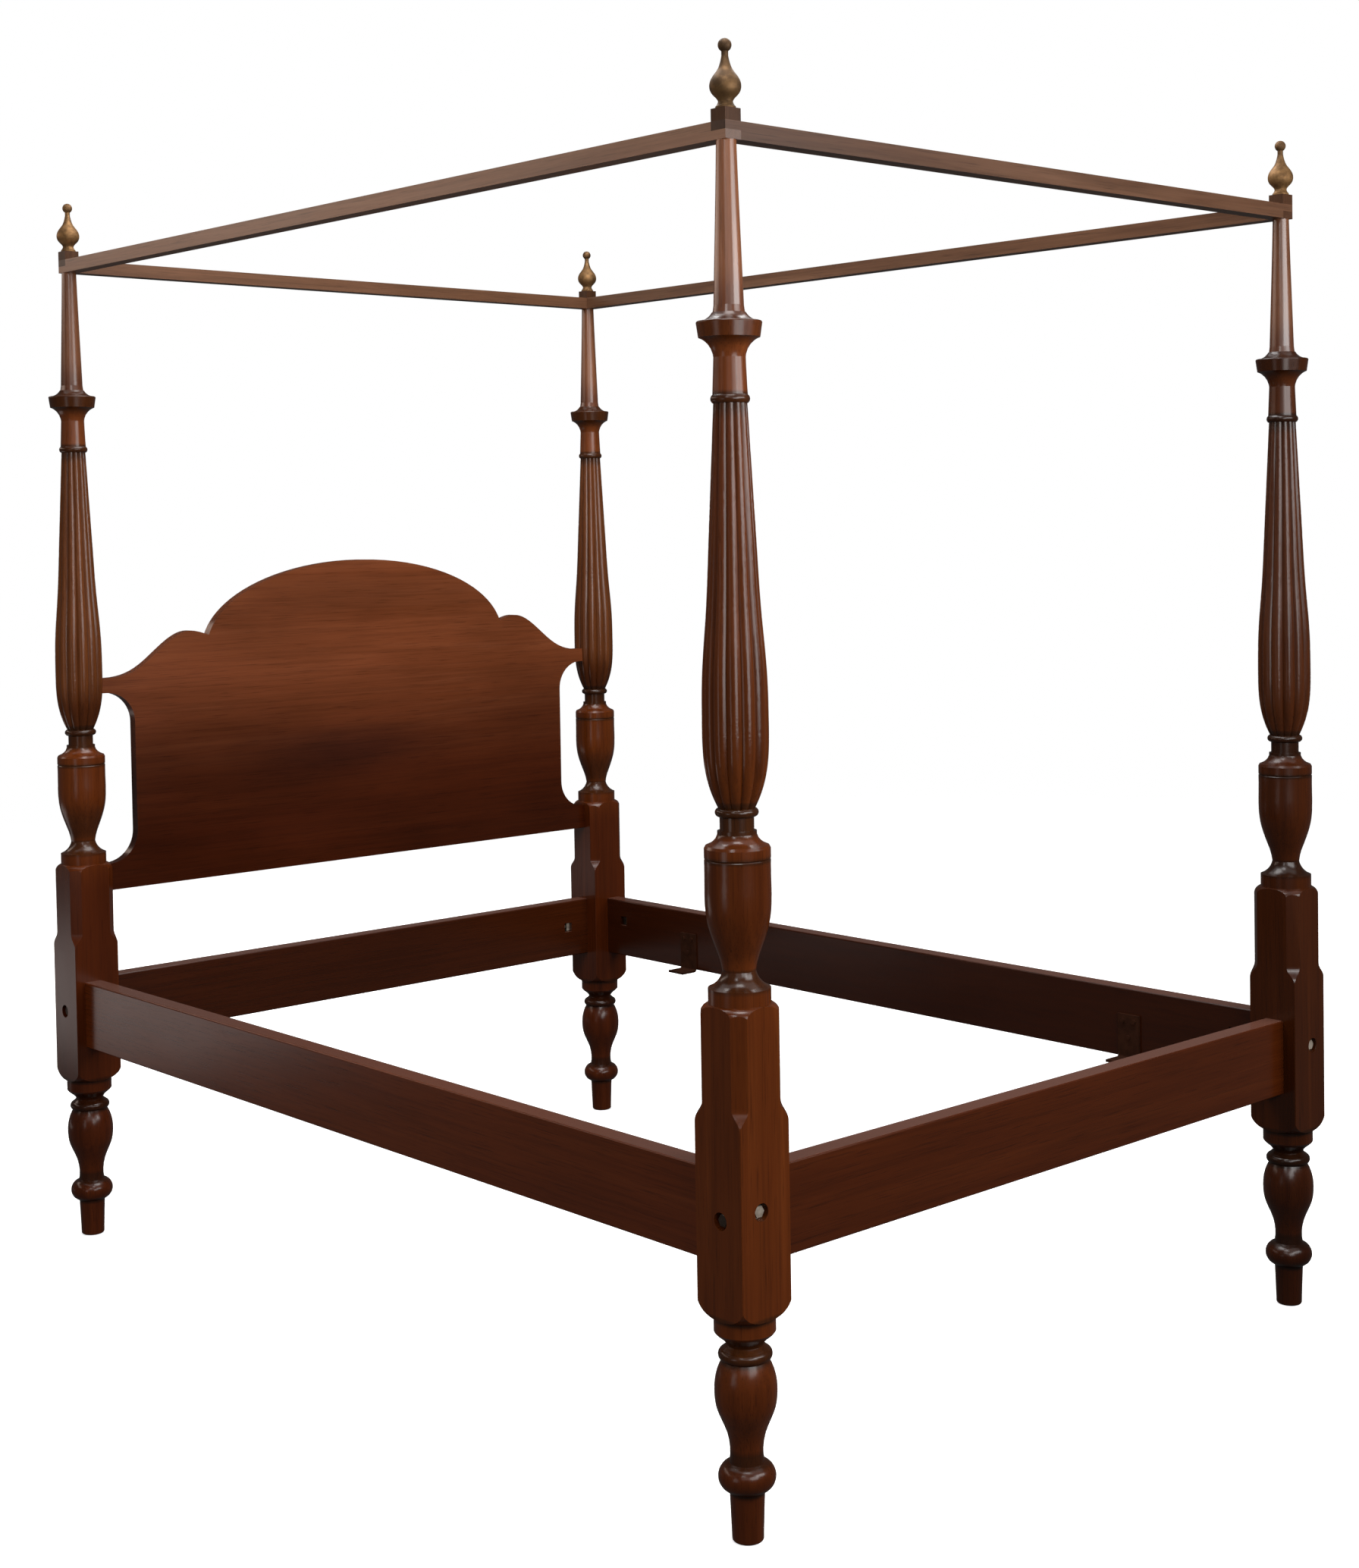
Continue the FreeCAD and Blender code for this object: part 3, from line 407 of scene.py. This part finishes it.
def post_finishes():
    finish = {}
    for number, (end, side) in enumerate(CORNERS):
        corner = end + "_" + side
        finish["post_" + corner] = wood(
            "post_wood_" + corner, "Z", toned(POST_WOOD, POST_LIGHT_AND_SHADE[corner]),
            POST_SEED + number, POST_GLOSS, fades=(POST_SHADE_AND_SHEEN[corner], TOP_LIGHT_SHADE_AND_GRIME, shade_and_grime_stops()))
        finish["canopy_post_" + corner] = wood(
            "canopy_wood_" + corner, "Z", toned(CANOPY_WOOD, CANOPY_LIGHT_AND_SHADE[corner]),
            CANOPY_SEED + number, CANOPY_GLOSS, fades=(CANOPY_FADE,))
    return finish


def tester_finish(place, grain, seed):
    return wood("tester_wood_" + place, grain, toned(TESTER_WOOD, TESTER_LIGHT_AND_SHADE[place]), seed,
                TESTER_GLOSS[place], TESTER_ROUGH, ends=END_GRAIN)


def rail_finishes():
    finish = {}
    for number, side in enumerate(("left", "right")):
        finish["side_rail_" + side] = wood(
            "side_rail_wood_" + side, "Y", toned(RAIL_WOOD, SIDE_RAIL_LIGHT_AND_SHADE[side]),
            SIDE_RAIL_SEED + number, RAIL_GLOSS, dust_and_sheen=RAIL_DUST_AND_SHEEN)
        finish["tester_rail_" + side] = tester_finish(side, "Y", TESTER_SIDE_SEED + number)
    for number, end in enumerate(("foot", "head")):
        finish[end + "_rail"] = wood(
            end + "_rail_wood", "X", toned(RAIL_WOOD, END_RAIL_LIGHT_AND_SHADE[end]),
            END_RAIL_SEED + number, RAIL_GLOSS, dust_and_sheen=RAIL_DUST_AND_SHEEN)
        finish["tester_rail_" + end] = tester_finish(end, "X", TESTER_END_SEED + number)
    return finish


def other_finishes():
    """Headboard, plinths and all the metal."""
    finish = {
        "headboard": wood("headboard_wood", "X", BOARD_WOOD, BOARD_SEED, BOARD_GLOSS,
                          mottle=BOARD_MOTTLE, fades=(BOARD_SHADE_AND_SHEEN,), stain=True),
        "finial_plinths": wood("plinth_wood", "Z", PLINTH_WOOD, PLINTH_SEED, PLINTH_GLOSS,
                               PLINTH_ROUGH)}
    steel = metal("bolt_steel", *STEEL, **STEEL_FINISH)
    iron = metal("hanger_iron", *IRON, **IRON_FINISH)
    for name in ("canopy_pins", "bed_bolts", "bolt_washers", "bolt_nuts"):
        finish[name] = steel
    finish["hanger_screws"] = iron
    for end, side in CORNERS:
        corner = end + "_" + side
        finish["hanger_" + corner] = iron
        finish["finial_" + corner] = metal(
            "antique_brass_" + corner, *toned(BRASS, FINIAL_LIGHT_AND_SHADE[corner]), **BRASS_FINISH)
    return finish


def dress():
    """Give each solid its material."""
    for finish in (post_finishes(), rail_finishes(), other_finishes()):
        for name, material in finish.items():
            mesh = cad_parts[name].data
            mesh.materials.clear()
            mesh.materials.append(material)


def add_camera():
    """Camera of the photograph; lens and shift are measured by the frame's longer side."""
    forward = Vector(CAMERA_FORWARD).normalized()
    right = forward.cross(Vector(CAMERA_UP)).normalized()
    up = right.cross(forward)
    turn = Matrix((right, up, -forward)).transposed()
    data = bpy.data.cameras.new("photo_camera")
    data.sensor_width = SENSOR
    data.lens = FOCAL_PIXELS / IMAGE_HEIGHT * SENSOR
    data.shift_x = (IMAGE_WIDTH / 2 - CENTRE_PIXEL[0]) / IMAGE_HEIGHT
    data.shift_y = (CENTRE_PIXEL[1] - IMAGE_HEIGHT / 2) / IMAGE_HEIGHT
    camera = bpy.data.objects.new("photo_camera", data)
    camera.matrix_world = Matrix.Translation(CAMERA_PLACE) @ turn.to_4x4()
    bpy.context.scene.collection.objects.link(camera)
    bpy.context.scene.camera = camera


def add_light(name, place, target, size, power, colour):
    """Soft rectangular light, unseen by the camera."""
    data = bpy.data.lights.new(name, "AREA")
    data.shape = "RECTANGLE"
    data.size, data.size_y = size
    data.energy = power
    data.color = colour
    light = bpy.data.objects.new(name, data)
    light.location = place
    aim = Vector(target) - Vector(place)
    light.rotation_euler = aim.to_track_quat("-Z", "Y").to_euler()
    light.visible_camera = False
    bpy.context.scene.collection.objects.link(light)
    return light


def floor_paper():
    """Pale paper that turns white and fades out away from the object."""
    material, tree, shader = start_material("floor_paper")
    place = object_place(tree)
    tone = add_ramp(tree, add_noise(tree, place, **FLOOR_NOISE), FLOOR_STOPS)
    away = add_node(tree, "ShaderNodeVectorMath", {"Vector": place},
                    operation="LENGTH").outputs["Value"]
    cover = map_range(tree, away, (FLOOR_SOLID, FLOOR_REACH), (1.0, 0.0), "SMOOTHSTEP")
    glow = map_range(tree, away, (FLOOR_SHADED, FLOOR_WHITE), (FLOOR_GLOW, 1.0), "SMOOTHSTEP")
    tree.links.new(tone, shader.inputs["Base Color"])
    tree.links.new(cover, shader.inputs["Alpha"])
    tree.links.new(glow, shader.inputs["Emission Strength"])
    shader.inputs["Emission Color"].default_value = (*WHITE, 1.0)
    shader.inputs["Roughness"].default_value = FLOOR_ROUGH
    shader.inputs["Specular IOR Level"].default_value = 0.0
    return material


def add_floor():
    """Pale floor, left out of the light and the reflections on the object."""
    reach = FLOOR_REACH
    mesh = bpy.data.meshes.new("floor")
    mesh.from_pydata([(-reach, -reach, 0), (reach, -reach, 0), (reach, reach, 0),
                      (-reach, reach, 0)], [], [(0, 1, 2, 3)])
    mesh.materials.append(floor_paper())
    floor = bpy.data.objects.new("floor", mesh)
    floor.location.z = -FLOOR_DROP
    floor.visible_glossy = False
    floor.visible_diffuse = False
    bpy.context.scene.collection.objects.link(floor)


def add_world():
    """White backdrop for the eye and a dim room for the light."""
    world = bpy.data.worlds.new("studio")
    world.use_nodes = True
    tree = world.node_tree
    seen = add_node(tree, "ShaderNodeLightPath").outputs["Is Camera Ray"]
    shown = add_node(tree, "ShaderNodeMixRGB", {
        "Fac": seen, "Color1": (*grey(ROOM_LIGHT), 1.0), "Color2": (*WHITE, 1.0)})
    tree.links.new(shown.outputs["Color"], tree.nodes["Background"].inputs["Color"])
    bpy.context.scene.world = world


def add_stage():
    bpy.context.scene.view_settings.view_transform = "Standard"
    add_floor()
    add_world()
    for lamp in LAMPS:
        add_light(*lamp)
    for fill in FILLS:
        add_light(*fill).visible_glossy = False
    for card in CARDS:
        add_light(*card).visible_diffuse = False


dress()
add_camera()
add_stage()
